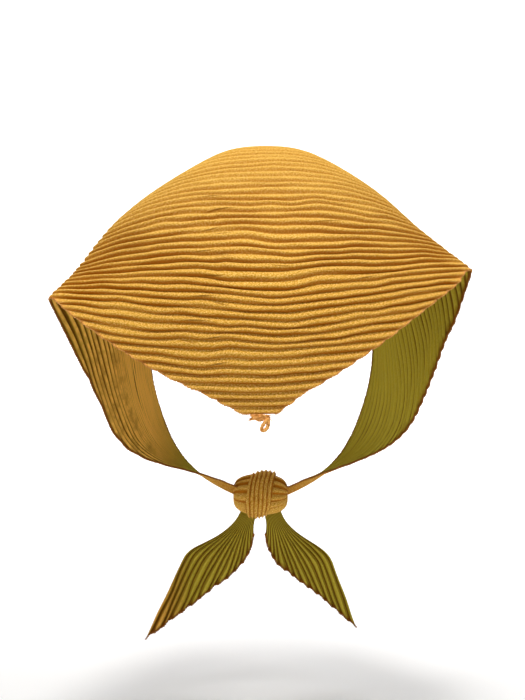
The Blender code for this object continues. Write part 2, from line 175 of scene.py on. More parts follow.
def blended(rows, column, pleat):
    """A table's column, of numbers or points, at any pleat, with no kink at its rows."""
    at = np.array([row["pleat"] for row in rows], float)
    value = np.array([row[column] for row in rows], float)
    slope = np.gradient(value, at, axis=0)
    i = int(np.clip(np.searchsorted(at, pleat, side="right") - 1, 0, len(at) - 2))
    width = at[i + 1] - at[i]
    u = (pleat - at[i]) / width
    return (
        (1 + 2 * u) * (1 - u) ** 2 * value[i]
        + u * (1 - u) ** 2 * width * slope[i]
        + u * u * (3 - 2 * u) * value[i + 1]
        + u * u * (u - 1) * width * slope[i + 1]
    )


def bend(start, start_handle, end_handle, end, count=40):
    """Points of a smooth bend from start to end."""
    u = np.linspace(0, 1, count)[:, None]
    return (
        (1 - u) ** 3 * start
        + 3 * u * (1 - u) ** 2 * start_handle
        + 3 * u * u * (1 - u) * end_handle
        + u**3 * end
    )


def lengths(line):
    return np.concatenate([[0], np.cumsum(np.linalg.norm(np.diff(line, axis=0), axis=1))])


def at_lengths(line, distances):
    measured = lengths(line)
    return np.stack([np.interp(distances, measured, line[:, k]) for k in range(3)], axis=1)


def softened(line, radius):
    """A line with its bends rounded, mirrored at the middle of the back so that it stays smooth there."""
    width = max(1, int(round(radius / STEP)))
    weights = np.concatenate([np.arange(1, width + 1), np.arange(width - 1, 0, -1)]).astype(float)
    weights /= weights.sum()
    pad = len(weights) // 2
    before = line[1 : pad + 1][::-1] * np.array([-1, 1, 1])
    after = 2 * line[-1] - line[-2 : -pad - 2 : -1]
    longer = np.vstack([before, line, after])
    round_line = np.stack([np.convolve(longer[:, k], weights, mode="valid") for k in range(3)], axis=1)
    round_line[0] = line[0]
    return round_line


def pleat_line(pleat, side):
    """(points of a pleat's line from the middle of the back to the knot, distance to its side fold)."""
    row = {column: blended(FOLDS[side], column, pleat) for column in FOLDS[side][0]}
    mirror = np.array([side, 1.0, 1.0])
    middle = np.array([0.0, blended(MIDDLE, "y", pleat), blended(MIDDLE, "z", pleat)])
    fold = mirror * row["fold"]
    flap = mirror * row["flap"]
    arriving = unit(mirror * row["arrive"])
    leaving = unit(mirror * row["leaving"])
    down = unit(mirror * MID_DIRECTION)
    entering = unit(mirror * ENTRY_DIRECTION)
    front, back = np.array(ENTRY_FRONT), np.array(ENTRY_BACK)
    entry = np.array([side * ENTRY_X, *(front + (back - front) * min(pleat / ENTRY_LAST_PLEAT, 1.0))])
    out = middle + np.array([side * row["lead"], 0.0, 0.0])
    over = bend(middle, out, fold - arriving * row["pull_in"], fold)
    hanging = bend(fold, fold + leaving * row["pull_out"], flap - down * MID_LENGTH, flap)
    under = bend(flap, flap + down * MID_LENGTH, entry - entering * ENTRY_LENGTH, entry)
    line = np.vstack([over, hanging[1:], under[1:]])
    whole = lengths(line)[-1]
    line = at_lengths(line, np.linspace(0, whole, int(whole / STEP) + 1))
    return softened(line, row["soft"]), lengths(over)[-1]


def reach(pleat, side):
    """Length of cloth on a pleat from the middle of the back to the cut edge."""
    edge = EDGES[side]
    belly = np.clip((PLEATS - pleat) / (PLEATS - edge["tip_pleat"]), 0, 1)
    return edge["half_length"] * (1 - pleat / PLEATS) + edge["belly"] * np.sin(math.pi * belly)


class Noise:
    """Smooth random values between -1 and 1 over two directions, the same on every run."""

    def __init__(self, seed, cell_a, cell_b, size=64):
        self.values = np.random.default_rng(seed).uniform(-1, 1, (size, size))
        self.cells = (cell_a, cell_b)
        self.size = size

    def __call__(self, a, b):
        a = np.asarray(a, float) / self.cells[0] + 1000.5
        b = np.asarray(b, float) / self.cells[1] + 1000.5
        i = np.floor(a).astype(int)
        j = np.floor(b).astype(int)
        u = eased(a - i)
        v = eased(b - j)

        def at(p, q):
            return self.values[p % self.size, q % self.size]

        low = at(i, j) * (1 - u) + at(i + 1, j) * u
        high = at(i, j + 1) * (1 - u) + at(i + 1, j + 1) * u
        return low * (1 - v) + high * v


class Hood:
    """The middle surface of the cloth on one side, with each pleat's stations at the same places."""

    def __init__(self, side):
        self.side = side
        self.at = np.arange(0, PLEATS + 0.01, 0.5)
        grid = []
        self.fold = []
        self.whole = []
        for pleat in self.at:
            line, fold = pleat_line(pleat, side)
            whole = lengths(line)[-1]
            grid.append(at_lengths(line, np.linspace(0, whole, GRID_COLUMNS)))
            self.fold.append(fold)
            self.whole.append(whole)
        self.grid = np.array(grid)
        along = np.gradient(self.grid, axis=1)
        along[:, 0] = (side, 0, 0)
        across = np.gradient(self.grid, self.at, axis=0)
        self.outward = unit(np.cross(across, along)) * side
        self.pitch = np.linalg.norm(across, axis=2)
        self.fold = np.array(self.fold)
        self.whole = np.array(self.whole)

    def measure(self, values, pleat):
        return np.interp(pleat, self.at, values)

    def sample(self, values, pleat, share):
        """A grid of values at pleats and at shares of the whole length, smooth across the pleats."""
        p = np.clip(pleat, 0, PLEATS) * 2
        i = np.clip(np.floor(p).astype(int), 0, len(self.at) - 2)
        u = p - i
        m = np.clip(share, 0, 1) * (GRID_COLUMNS - 1)
        j = np.clip(np.floor(m).astype(int), 0, GRID_COLUMNS - 2)
        v = m - j
        if values.ndim == 3:
            u = u[:, None]
            v = v[:, None]

        def row(k):
            k = np.clip(k, 0, len(self.at) - 1)
            return values[k, j] * (1 - v) + values[k, j + 1] * v

        a, b, c, d = row(i - 1), row(i), row(i + 1), row(i + 2)
        return b + 0.5 * u * (c - a + u * (2 * a - 5 * b + 4 * c - d + u * (3 * (b - c) + d - a)))


def pleat_shape(phase):
    """Height of a pleat, -1 in the valley and 1 on the ridge, which leans towards the next valley."""
    leaning = phase ** (math.log(0.5) / math.log(PEAK))
    return -1 + 2 * np.abs(np.sin(np.pi * leaning)) ** 0.95


def strip(first, second):
    """Faces between two rows, each given as (first index, positions along the row)."""
    a_start, a = first
    b_start, b = second
    i = j = 0
    faces = []
    while i < len(a) - 1 or j < len(b) - 1:
        next_a = a[i + 1] if i < len(a) - 1 else math.inf
        next_b = b[j + 1] if j < len(b) - 1 else math.inf
        face = [a_start + i, b_start + j]
        if next_b <= next_a:
            j += 1
            face.append(b_start + j)
        if next_a <= next_b:
            i += 1
            face.append(a_start + i)
        faces.append(tuple(face))
    return faces


def new_object(name, data):
    made = bpy.data.objects.new(name, data)
    bpy.context.scene.collection.objects.link(made)
    return made


def volume_sign(points, faces):
    total = 0.0
    for face in faces:
        a, b, c = points[face[0]], points[face[1]], points[face[2]]
        total += float(np.dot(a, np.cross(b, c)))
        if len(face) == 4:
            total += float(np.dot(a, np.cross(c, points[face[3]])))
    return total


def mesh_of(name, points, faces, attributes=None, uv=None):
    """A closed mesh facing out, with float attributes on its points and a map in metres."""
    points = np.asarray(points, float)
    if volume_sign(points, faces) < 0:
        faces = [face[::-1] for face in faces]
    mesh = bpy.data.meshes.new(name)
    mesh.from_pydata(points.tolist(), [], faces)
    for key, values in (attributes or {}).items():
        layer = mesh.attributes.new(key, "FLOAT", "POINT")
        layer.data.foreach_set("value", np.asarray(values, np.float32))
    if uv is not None:
        layer = mesh.uv_layers.new(name="cloth")
        corners = np.empty(len(mesh.loops), np.int32)
        mesh.loops.foreach_get("vertex_index", corners)
        layer.data.foreach_set("uv", np.asarray(uv, np.float32)[corners].ravel())
    mesh.shade_smooth()
    return new_object(name, mesh)


def cloth_mesh(name, rows):
    """A closed sheet through rows of points, with its middle surface and the numbers of its rims.

    Each row is a dict of arrays: at, along, point, outward, rise, thick, shade, rim and pleat.
    """
    starts = []
    count = 0
    for row in rows:
        starts.append((count, [round(float(x), 6) for x in row["at"]]))
        count += len(row["at"])
    every = {key: np.concatenate([row[key] for row in rows]) for key in rows[0]}
    middle = every["point"] + every["outward"] * every["rise"][:, None]
    half = every["outward"] * every["thick"][:, None] / 2
    points = np.vstack([middle + half, middle - half])
    faces = []
    for first, second in zip(starts, starts[1:]):
        faces += strip(first, second)
    first_row = list(range(len(starts[0][1])))
    last_row = list(range(starts[-1][0], count))
    left_ends = [start for start, _ in starts]
    right_ends = [start + len(places) - 1 for start, places in starts]
    rim = first_row + right_ends[1:] + last_row[::-1][1:] + left_ends[::-1][1:-1]
    pairs = zip(rim, rim[1:] + rim[:1])
    walls = [(one, other, other + count, one + count) for one, other in pairs if one != other]
    back = [tuple(k + count for k in face[::-1]) for face in faces]
    attributes = {
        "inner": np.concatenate([np.zeros(count), np.ones(count)]),
        **{key: np.tile(every[key], 2) for key in ("shade", "rim", "pleat")},
    }
    uv = np.tile(np.stack([every["along"], every["pleat"] * PITCH], axis=1), (2, 1))
    made = mesh_of(name, points, faces + back + walls, attributes, uv)
    return made, middle, left_ends, right_ends, first_row


# On the side flaps the pleats leave the lines of the surface, within the length over past the fold.
# They are narrow up to pleat bends, and wide from there to the wing tip. The left ones keep beside the
# cut edge for a while, by follows pleats in all. The right ones drift outwards, over the edge.
FLAPS = {
    -1: dict(over=0.022, narrow=0.65, wide=2.70, bends=28.8, soft=1.5, follows=4.8, drift=0.0),
    1: dict(over=0.020, narrow=0.60, wide=1.40, bends=15.5, soft=4.0, follows=0.0, drift=30.0),
}
FOLLOWS_OVER = 0.060
DRIFT_OVER = 0.150
DRIFT_KNEE = 9.0         # pleats in front of this one drift less
DRIFT_START = 0.014      # the drift sets in over this length, so the pleats don't kink

# The cut rounds each wing tip off: the cloth there is shorter by this much, over this many pleats.
# Below each tip the cut is fuller.
TRIMS = {
    -1: [dict(pleat=34.8, less=0.0060, pleats=1.6), dict(pleat=31.3, less=-0.0115, pleats=1.7)],
    1: [dict(pleat=31.5, less=0.0135, pleats=1.6), dict(pleat=29.4, less=-0.0080, pleats=1.1)],
}

# The back corner is blunt: the cut runs on along the last pleats.
CORNER_BLUNT = 0.0100
CORNER_PLEATS = 2.6

# The pleats stand lower and show less shadow over the crown, from pleat 7 to 29 and least at 8. Past
# the side fold they are full again.
CROWN_PLEATS = (8, 29)
CROWN_FRONT = 7
CROWN_RISE = 0.62
CROWN_SHADE = 0.38
SIDE_SHADE = 0.45        # the shadows are weaker by this share towards the upper part of a side fold
SIDE_PLEATS = (18, 30)   # up to the first fully, behind the second not at all
PAST_FOLD = 0.030        # the flaps' pleats are full this far past the side fold

# The pleats stand lower round each wing tip.
TIP_LOWER = 0.65
TIP_PLEATS = 5.0
TIP_LENGTH = 0.014

# The sewn edge holds the pleats down over its last stretch, by a share on the back and on the flaps.
HELD_OVER = 0.007
HELD_BACK = 0.25
HELD_FLAP = 0.62
EDGE_TURN = 0.010        # past the side fold, the back's values go over into the flap's in this length

# Broad waves that neighbouring pleats share, and small ones of each pleat's own, as shares of a pleat.
WAVE_SHARE = 0.32
OWN_SHARE = 0.15
JUMP_SHARE = 0.55
SWELL_RISE = 0.0005      # broad swelling of the whole cloth
DEPTH_SHARE = 0.15       # valleys differ by this share of their depth
MERGE_SHARE = 0.55       # and are shallower by this share where two pleats merge
MERGE_FROM = 0.55
VALLEY_REACH = 0.35      # a valley's own depth fades out at this phase from it
KNOT_CALM = 0.05         # the random shifts fade out over this length before the knot
CALM_FRONT = 1.5         # and over this many pleats at the front hem and at the back corner
CALM_BACK = 9.0
WAVE = Noise(11, 4.0, 0.028)
OWN = Noise(12, 1.0, 0.014)
DEPTH = Noise(13, 1.0, 0.026)
SWELL = Noise(14, 6.0, 0.050)
MERGE = Noise(15, 1.0, 0.060)
# Left of the middle of the back the pleats step sideways by part of their pitch.
JUMP = Noise(16, 1.7, 1.0)
JUMP_WANDER = Noise(17, 1.3, 1.0)
JUMP_AT = -0.026
JUMP_SPREAD = 0.006      # the step is up to this far from there
JUMP_LENGTH = 0.005
JUMP_FROM = 16           # the first pleat that steps, and in how many more the steps grow full
JUMP_PLEATS = 4
JUMP_END = 0.02          # right of the middle the shift fades out again
JUMP_FADE = 0.05

# Short thin creases where a pleat is pinched: pleat, metres from the middle of the back, half the
# length, and slant.
CREASES = [
    (17.4, 0.004, 0.013, -0.10), (19.6, -0.030, 0.009, -0.08), (21.8, -0.026, 0.014, -0.12),
    (24.7, -0.030, 0.008, -0.14), (25.3, -0.024, 0.010, -0.06), (27.6, -0.033, 0.010, -0.12),
    (28.2, -0.022, 0.008, 0.10), (30.7, -0.028, 0.011, -0.14), (33.6, -0.034, 0.009, -0.10),
    (34.3, -0.024, 0.008, 0.12), (36.6, -0.040, 0.011, -0.06), (38.7, -0.030, 0.009, -0.12),
    (39.3, -0.044, 0.008, 0.08), (41.6, -0.026, 0.010, -0.12), (23.5, 0.048, 0.015, -0.12),
    (29.5, 0.012, 0.009, 0.10), (31.6, 0.070, 0.010, -0.08), (26.4, -0.085, 0.012, 0.08),
]
CREASE_HALF_WIDTH = 0.00060

SHADE_START = 0.58       # the shadow starts behind the ridge, is full after this part of the pleat
SHADE_OVER = 0.24
SHADE_END = 0.08         # and ends just past the valley


def shaded_part(phase):
    """How far a point of a pleat lies under the hanging side of its ridge, between 0 and 1."""
    if phase < SHADE_END:
        return 1 - phase / SHADE_END
    return float(eased((phase - SHADE_START) / SHADE_OVER))


def calmed(pleat):
    """Random shifts fade out towards the front hem and the back corner."""
    return float(np.clip(min(pleat / CALM_FRONT, (PLEATS - pleat) / CALM_BACK), 0, 1))


def flap_place(hood, pleat, rough):
    """Where a pleat lies across the surface, at this distance from the middle of the back."""
    flap = FLAPS[hood.side]
    tip = EDGES[hood.side]["tip_pleat"]
    past = np.clip(rough - hood.measure(hood.fold, pleat), 0, None)
    below = np.clip(rough - hood.measure(hood.fold, tip), 0, None)
    below = below * below / (below + DRIFT_START)
    rest = max(pleat, 0.0)
    widened = flap["soft"] * math.log(1 + math.exp((rest - flap["bends"]) / flap["soft"]))
    place = flap["narrow"] * rest + (flap["wide"] - flap["narrow"]) * widened
    place = place * (1 - flap["follows"] * (1 - np.exp(-past / FOLLOWS_OVER)) / tip)
    run = flap["drift"] * (1 - np.exp(-below / DRIFT_OVER)) * (1 - math.exp(-rest / DRIFT_KNEE))
    return pleat + (place - pleat) * (1 - np.exp(-past / flap["over"])) + run


def surface_places(hood, pleat, share):
    """Where a pleat runs over the surface: (its place across the pleats, its distance from the middle)."""
    whole = hood.measure(hood.whole, pleat)
    rough = share * whole
    along = rough * hood.side
    calm = calmed(pleat) * np.clip((whole - rough) / KNOT_CALM, 0, 1)
    step_at = JUMP_AT + JUMP_SPREAD * JUMP_WANDER(pleat, 0.0)
    jump = JUMP(pleat, 0.0) * np.clip((along - step_at) / JUMP_LENGTH + 0.5, 0, 1)
    jump = jump * np.clip((pleat - JUMP_FROM) / JUMP_PLEATS, 0, 1)
    jump = jump * (1 - np.clip((along - JUMP_END) / JUMP_FADE, 0, 1))
    shift = (WAVE_SHARE * WAVE(pleat, along) + OWN_SHARE * OWN(pleat, along) + JUMP_SHARE * jump) * calm
    moved = np.clip(flap_place(hood, pleat, rough) + shift, 0, PLEATS)
    return moved, share * hood.measure(hood.whole, moved)


def stations(hood, pleat):
    """Places along a pleat, as shares of its whole length."""
    fold = hood.measure(hood.fold, pleat) / hood.measure(hood.whole, pleat)
    before = fold * (1 - (1 - np.arange(COLUMNS_BEFORE) / COLUMNS_BEFORE) ** CROWDING)
    after = fold + (1 - fold) * (np.arange(COLUMNS_AFTER + 1) / COLUMNS_AFTER) ** CROWDING
    return np.concatenate([before, after])


def cut_stations(hood, pleat, share):
    """A pleat's stations up to the cut edge: their shares, numbers and part in the turned edge."""
    number = np.arange(len(share), dtype=float)
    fine = np.linspace(0, 1, FINE_STATIONS)
    moved, marks = surface_places(hood, pleat, fine)
    whole = marks[-1]
    less = EDGE_INSET - CORNER_BLUNT * np.clip(1 - (PLEATS - moved) / CORNER_PLEATS, 0, 1)
    for trim in TRIMS[hood.side]:
        less = less + trim["less"] * np.exp(-(((moved - trim["pleat"]) / trim["pleats"]) ** 2))
    beyond = np.nonzero(marks > reach(moved, hood.side) - less)[0]
    if len(beyond) == 0:
        return dict(share=share, at=number, rim=np.zeros(len(number)), length=None, whole=whole)
    length = marks[beyond[0]]
    marks = np.maximum.accumulate(marks)
    keep = np.zeros(len(share), bool)
    lip = []
    if length > SHORT:
        past_fold = np.clip((length - hood.measure(hood.fold, pleat)) / EDGE_TURN, 0, 1)
        length += TOOTH * float(pleat_shape(pleat - math.floor(pleat))) * (1 - TOOTH_LESS * past_fold)
    if length > SHORT:
        lip = np.interp([length - RIM, length - RIM * RIM_LINE], marks, fine)
        keep = share < np.interp(length - RIM_CLEAR, marks, fine)
    keep[0] = True
    end = np.interp(length, marks, fine)
    extra = np.array([x for x in [*lip, end] if x > 0])
    return dict(share=np.concatenate([share[keep], extra]),
                at=np.concatenate([number[keep], np.interp(extra, share, number)]),
                rim=np.concatenate([np.zeros(keep.sum()), np.linspace(0.4, 1, len(extra))]),
                length=length, whole=whole)


def hood_half(hood, pleat):
    """One line of the hood, from the middle of the back to the cut edge or the knot."""
    phase = pleat - math.floor(pleat)
    shape = float(pleat_shape(phase))
    cut = cut_stations(hood, pleat, stations(hood, pleat))
    share, rim = cut["share"], cut["rim"]
    moved, marks = surface_places(hood, pleat, share)
    along = marks * hood.side
    fold = hood.measure(hood.fold, pleat)
    past = np.clip(marks - fold, 0, None)
    turned = np.clip(past / EDGE_TURN, 0, 1)

    # How full the pleats are here: less over the crown.
    crown_first, crown_last = CROWN_PLEATS
    full = max(eased((pleat - crown_first) / (crown_last - crown_first)), eased((CROWN_FRONT - pleat) / 4))
    full = np.maximum(full, eased(past / PAST_FOLD))

    # The most that the cloth may rise: less where the pleats crowd, at the tips and at the sewn edge.
    rough = share * hood.measure(hood.whole, pleat)
    wider = (flap_place(hood, pleat + 0.25, rough) - flap_place(hood, pleat - 0.25, rough)) / 0.5
    pitch = hood.sample(hood.pitch, moved, share) * np.clip(wider, 0.2, 3.0)
    limit = np.minimum(RISE, PITCH_SHARE * pitch) * (CROWN_RISE + (1 - CROWN_RISE) * full)
    off_tip = (moved - EDGES[hood.side]["tip_pleat"]) / TIP_PLEATS
    off_fold = (marks - fold) / TIP_LENGTH
    limit = limit * (1 - TIP_LOWER * np.exp(-(off_tip * off_tip) - off_fold * off_fold))
    if cut["length"] is not None:
        held = HELD_BACK + (HELD_FLAP - HELD_BACK) * turned
        limit = limit * (1 - held * eased(1 - (cut["length"] - marks) / HELD_OVER))

    # Each valley has its own depth, and some are nearly closed.
    valley = math.floor(pleat + 0.5) + 0.5
    merged = MERGE_SHARE * np.clip(MERGE(valley, along) - MERGE_FROM, 0, 1)
    depth = 1 - DEPTH_SHARE * (1 - DEPTH(valley, along)) - merged
    near = 1 - np.clip(min(phase, 1 - phase) / VALLEY_REACH, 0, 1)
    height = limit * (shape * (1 - near) + ((shape + 1) * depth + 1 - 2 * depth) * near)
    calm = calmed(pleat) * np.clip((cut["whole"] - marks) / KNOT_CALM, 0, 1)
    height = height + SWELL_RISE * SWELL(pleat, along) * calm

    shade = shaded_part(phase) * depth * (CROWN_SHADE + (1 - CROWN_SHADE) * full)
    side_first, side_last = SIDE_PLEATS
    beside = np.clip(marks / fold, 0, 1) * eased((side_last - pleat) / (side_last - side_first))
    shade = shade * (1 - SIDE_SHADE * eased(beside) * (1 - eased(turned)))
    return dict(at=cut["at"] * hood.side, along=along,
                point=hood.sample(hood.grid, moved, share),
                outward=unit(hood.sample(hood.outward, moved, share)),
                rise=height, thick=CLOTH_THICK + (RIM_THICK - CLOTH_THICK) * rim,
                shade=np.clip(shade, 0, 1), rim=rim, pleat=np.full(len(marks), pleat))


def hood_row(hoods, pleat):
    """One line of the hood from its left edge to its right edge."""
    left = hood_half(hoods[-1], pleat)
    right = hood_half(hoods[1], pleat)
    return {key: np.concatenate([left[key][::-1], right[key][1:]]) for key in left}


def tail_row(tail, pleat, own):
    """One line of a free end, from inside the knot to its cut edge."""
    side = tail["side"]
    phase = pleat - math.floor(pleat)
    down = unit((side * tail["lean"], tail["forward"], -1.0))
    across = unit(np.cross(down, (0.0, 1.0, 0.0))) * -side
    outward = unit(np.cross(across, down)) * -side
    start = np.array([side * TAIL_X, KNOT_CENTRE[1], KNOT_CENTRE[2] - KNOT_RADIUS_Z * 0.9])
    longest = TAIL_LONGEST * tail["longest"]
    length = longest + (TAIL_SHORTEST - longest) * pleat / TAIL_PLEATS
    marks = np.arange(TAIL_START, length - TAIL_STEP, TAIL_STEP)
    extra = np.array([length - RIM, length - RIM * RIM_LINE, length])
    rim = np.concatenate([np.zeros(len(marks)), [0.4, 0.7, 1.0]])
    at = np.concatenate([marks, extra])
    opened = eased(at / TAIL_OPENS_OVER)
    pitch = TAIL_PITCH_KNOT + (TAIL_PITCH_OPEN - TAIL_PITCH_KNOT) * opened
    shift = own(pleat, at) * TAIL_SHIFT * opened
    spread = (pleat + shift - TAIL_PLEATS / 2) * pitch
    flat = np.array([math.copysign(1.0, across[0]), 0.0, 0.0])
    sideways = unit(flat * (1 - opened[:, None]) + across * opened[:, None])
    bow = TAIL_BOW * np.sin(np.pi * np.clip(at, 0, None) / TAIL_LONGEST)
    bow = bow + TAIL_WAVE * np.sin(pleat * 0.55 + at * 40 + side) * opened
    point = start + down * at[:, None] + sideways * spread[:, None] + outward * bow[:, None]
    shape = float(pleat_shape(phase))
    rise = np.minimum(RISE, PITCH_SHARE * pitch) * shape
    return dict(at=at, along=at * side, point=point, outward=np.tile(outward, (len(at), 1)), rise=rise,
                thick=CLOTH_THICK + (RIM_THICK - CLOTH_THICK) * rim,
                shade=np.full(len(at), shaded_part(phase)), rim=rim, pleat=np.full(len(at), pleat))


def phases(pleats):
    return [k + phase for k in range(pleats) for phase in PHASES] + [float(pleats)]


# Materials: small shader sums written as Python expressions.
class Value:
    """A socket that can be used in sums."""

    def __init__(self, tree, socket):
        self.tree = tree
        self.socket = socket

    def _math(self, operation, *others):
        return self.tree.node("ShaderNodeMath", "Value", operation=operation, inputs=(self, *others))

    def __add__(self, other):
        return self._math("ADD", other)

    def __sub__(self, other):
        return self._math("SUBTRACT", other)

    def __rsub__(self, other):
        return self.tree.node("ShaderNodeMath", "Value", operation="SUBTRACT", inputs=(other, self))

    def __mul__(self, other):
        return self._math("MULTIPLY", other)

    __radd__ = __add__
    __rmul__ = __mul__

    def absolute(self):
        return self._math("ABSOLUTE")

    def clamp(self):
        return self._math("MINIMUM", 1.0)._math("MAXIMUM", 0.0)


class Tree:
    """One material's nodes."""

    def __init__(self, name):
        self.material = bpy.data.materials.new(name)
        self.material.use_nodes = True
        self.nodes = self.material.node_tree.nodes
        self.links = self.material.node_tree.links
        self.surface = self.nodes["Principled BSDF"]

    def put(self, node, key, value):
        """Feeds a node's input with a value, a number or one of the colours."""
        if isinstance(value, Value):
            self.links.new(value.socket, node.inputs[key])
        else:
            node.inputs[key].default_value = linear(*COLOURS[value]) if isinstance(value, str) else value

    def node(self, kind, output, inputs=(), **settings):
        made = self.nodes.new(kind)
        for key, value in settings.items():
            setattr(made, key, value)
        pairs = inputs.items() if isinstance(inputs, dict) else enumerate(inputs)
        for key, value in pairs:
            self.put(made, key, value)
        return Value(self, made.outputs[output])

    def attribute(self, name):
        return self.node("ShaderNodeAttribute", "Fac", attribute_name=name, attribute_type="GEOMETRY")

    def place(self):
        return self.node("ShaderNodeTexCoord", "Object")

    def axis(self, place, name):
        return self.node("ShaderNodeSeparateXYZ", name, inputs=(place,))

    def noise(self, where, scale, detail, roughness):
        return self.node("ShaderNodeTexNoise", "Fac", inputs={
            "Vector": where, "Scale": scale, "Detail": detail, "Roughness": roughness})

    def mix(self, share, first, second):
        """A colour between the first and the second."""
        return self.node("ShaderNodeMix", 2, inputs={0: share, 6: first, 7: second}, data_type="RGBA")

    def bump(self, height, strength, distance):
        made = self.node("ShaderNodeBump", "Normal", inputs={
            "Strength": strength, "Distance": distance, "Height": height})
        self.links.new(made.socket, self.surface.inputs["Normal"])

    def set(self, **values):
        for key, value in values.items():
            self.put(self.surface, key.replace("_", " "), value)
        return self.material


def linear(red, green, blue):
    """A colour given as 0 to 255 on screen, as the renderer's light values."""
    out = []
    for part in (red, green, blue):
        c = part / 255
        out.append(c / 12.92 if c <= 0.04045 else ((c + 0.055) / 1.055) ** 2.4)
    return (*out, 1.0)


# Colours as they show on screen: the cloth's outside, its inside, and the thread. Several have light and
# shade painted in, said where they are used.
COLOURS = {
    "mustard": (207, 153, 54), "mustard_pale": (219, 165, 62), "mustard_glint": (246, 202, 114),
    "mustard_pit": (160, 100, 12), "mustard_shadow": (162, 94, 0), "painted_crown_light": (214, 196, 122),
    "painted_crease_shade": (134, 78, 6), "mustard_rim": (226, 150, 76),
    "olive": (180, 160, 44), "olive_pale": (196, 175, 54), "olive_glint": (208, 190, 80),
    "painted_ridge_highlight": (204, 190, 84), "painted_patch_shade": (136, 118, 20), "painted_valley_shade": (124, 88, 10),
    "painted_groove_shade": (100, 62, 2), "painted_inner_rim_shade": (122, 68, 10),
    "painted_left_flap_shade": (124, 82, 8), "sunlit": (255, 196, 88),
    "thread": (186, 116, 42), "thread_pale": (250, 188, 106), "thread_glint": (250, 200, 128),
    "painted_thread_shade": (136, 78, 18),
}


def cloth_material():
    """Mustard crepe: bright grain outside, with painted light towards the crown and painted shade in the
    creases; inside an olive tint of painted green reflected light, grooved, with painted shade in its grooves
    and over the left flap, and lighter painted sunlit stripes in the left flap.
    """
    tree = Tree("mustard_crepe")
    place = tree.place()
    inner, shade, rim, pleat = [tree.attribute(name) for name in ("inner", "shade", "rim", "pleat")]
    uv = tree.node("ShaderNodeUVMap", "UV", uv_map="cloth")

    def turned(angle, along, across):
        return tree.node("ShaderNodeMapping", "Vector", inputs={
            "Vector": uv, "Rotation": (0.0, 0.0, angle), "Scale": (along, across, 1.0)})

    grain = tree.noise(turned(0.62, 800.0, 1400.0), 1.0, 1.0, 0.6)
    threads = tree.noise(turned(-0.9, 1500.0, 2600.0), 1.0, 2.0, 0.6)
    broad = tree.noise(place, 26.0, 3.0, 0.5)
    x, y, z = [tree.axis(place, name) for name in "XYZ"]

    # The grain is weaker over the crown.
    marked = 1.0 - ((z + 0.050) * 28.0).clamp() * 0.40
    lit = ((grain - 0.47) * 5.5 + (threads - 0.5) * 1.2).clamp() * marked
    dull = ((0.47 - grain) * 6.0).clamp() * marked
    creases = 0.0
    for crease_pleat, along, half_length, slant in CREASES:
        local = tree.node("ShaderNodeMapping", "Vector", vector_type="TEXTURE", inputs={
            "Vector": uv, "Location": (along, crease_pleat * PITCH, 0.0),
            "Rotation": (0.0, 0.0, slant), "Scale": (half_length, CREASE_HALF_WIDTH, 1.0)})
        far = tree.node("ShaderNodeVectorMath", "Value", operation="LENGTH", inputs=(local,))
        creases = (1.0 - far).clamp() + creases
    outside = tree.mix(broad, "mustard", "mustard_pale")
    outside = tree.mix(lit * 0.85, outside, "mustard_glint")
    outside = tree.mix(dull * 0.60, outside, "mustard_pit")
    outside = tree.mix(shade * 0.95, outside, "mustard_shadow")
    # Painted light: the outside grows lighter towards the crown, which faces up to the light.
    outside = tree.mix(((z + 0.100) * 14.0).clamp() * 0.11, outside, "painted_crown_light")
    # Painted shade in the short creases; their dent itself is the bump below.
    outside = tree.mix((creases * 1.4).clamp() * 0.65, outside, "painted_crease_shade")
    outside = tree.mix(rim * 0.40, outside, "mustard_rim")

    # The left flap, its crumpled outer pleats, and how far a point lies across its pleat.
    left = (x * -40.0 - 2.2).clamp() * ((y - x * 0.70 - 0.036) * 150.0).clamp()
    crumpled = tree.noise(place, 105.0, 3.0, 0.6)
    crushed = left * (pleat * 0.25 - 5.0).clamp()
    wandering = pleat + (crumpled - 0.5) * crushed * 0.20
    step = tree.node("ShaderNodeMath", "Value", operation="FRACT", inputs=(wandering,))
    groove = (1.25 - (step - 0.55).absolute() * 4.4).clamp()
    second = (1.0 - (step - 0.82).absolute() * 9.0).clamp()
    ridge = ((step - 0.5).absolute() * 5.0 - 1.7).clamp()
    low, high = [((step - middle).absolute() * -6.0 + 2.0).clamp() for middle in (0.04, 1.04)]
    stripe = low + high
    patch = 0.85 - (2.4 - crumpled * 4.2).clamp() * crushed * 0.45
    # The inside's olive tint is painted green reflected light; the cloth is mustard on both sides.
    inside = tree.mix(broad, "olive", "olive_pale")
    inside = tree.mix(lit * 0.35, inside, "olive_glint")
    # Painted highlights on the ridges of the inside.
    inside = tree.mix(ridge * 0.35, inside, "painted_ridge_highlight")
    # Painted shade over the inside of the left flap.
    inside = tree.mix(left * 0.92, inside, "painted_left_flap_shade")
    # Painted shade patches in the crumpled outer pleats of the left flap.
    inside = tree.mix(crushed * (broad * 6.0 - 2.6).clamp() * 0.45, inside, "painted_patch_shade")
    inside = tree.mix(left * stripe.clamp() * patch, inside, "sunlit")
    # Painted shade along a second line in each pleat and in the grooves of the inside.
    inside = tree.mix(second * 0.60, inside, "painted_valley_shade")
    inside = tree.mix(groove * 0.90, inside, "painted_groove_shade")
    # Painted shade on the inside of the turned edge.
    inside = tree.mix((rim * 1.8).clamp() * 0.90, inside, "painted_inner_rim_shade")

    tree.bump(threads * 0.4 + grain - creases * 2.0, 0.8, 0.00035)
    return tree.set(**{"Base Color": tree.mix(inner, outside, inside), "Roughness": 0.62 + threads * 0.2,
                       "Sheen Weight": 0.02, "Sheen Roughness": 0.45, "Sheen Tint": (1.0, 0.86, 0.6, 1.0),
                       "Specular IOR Level": 0.05})


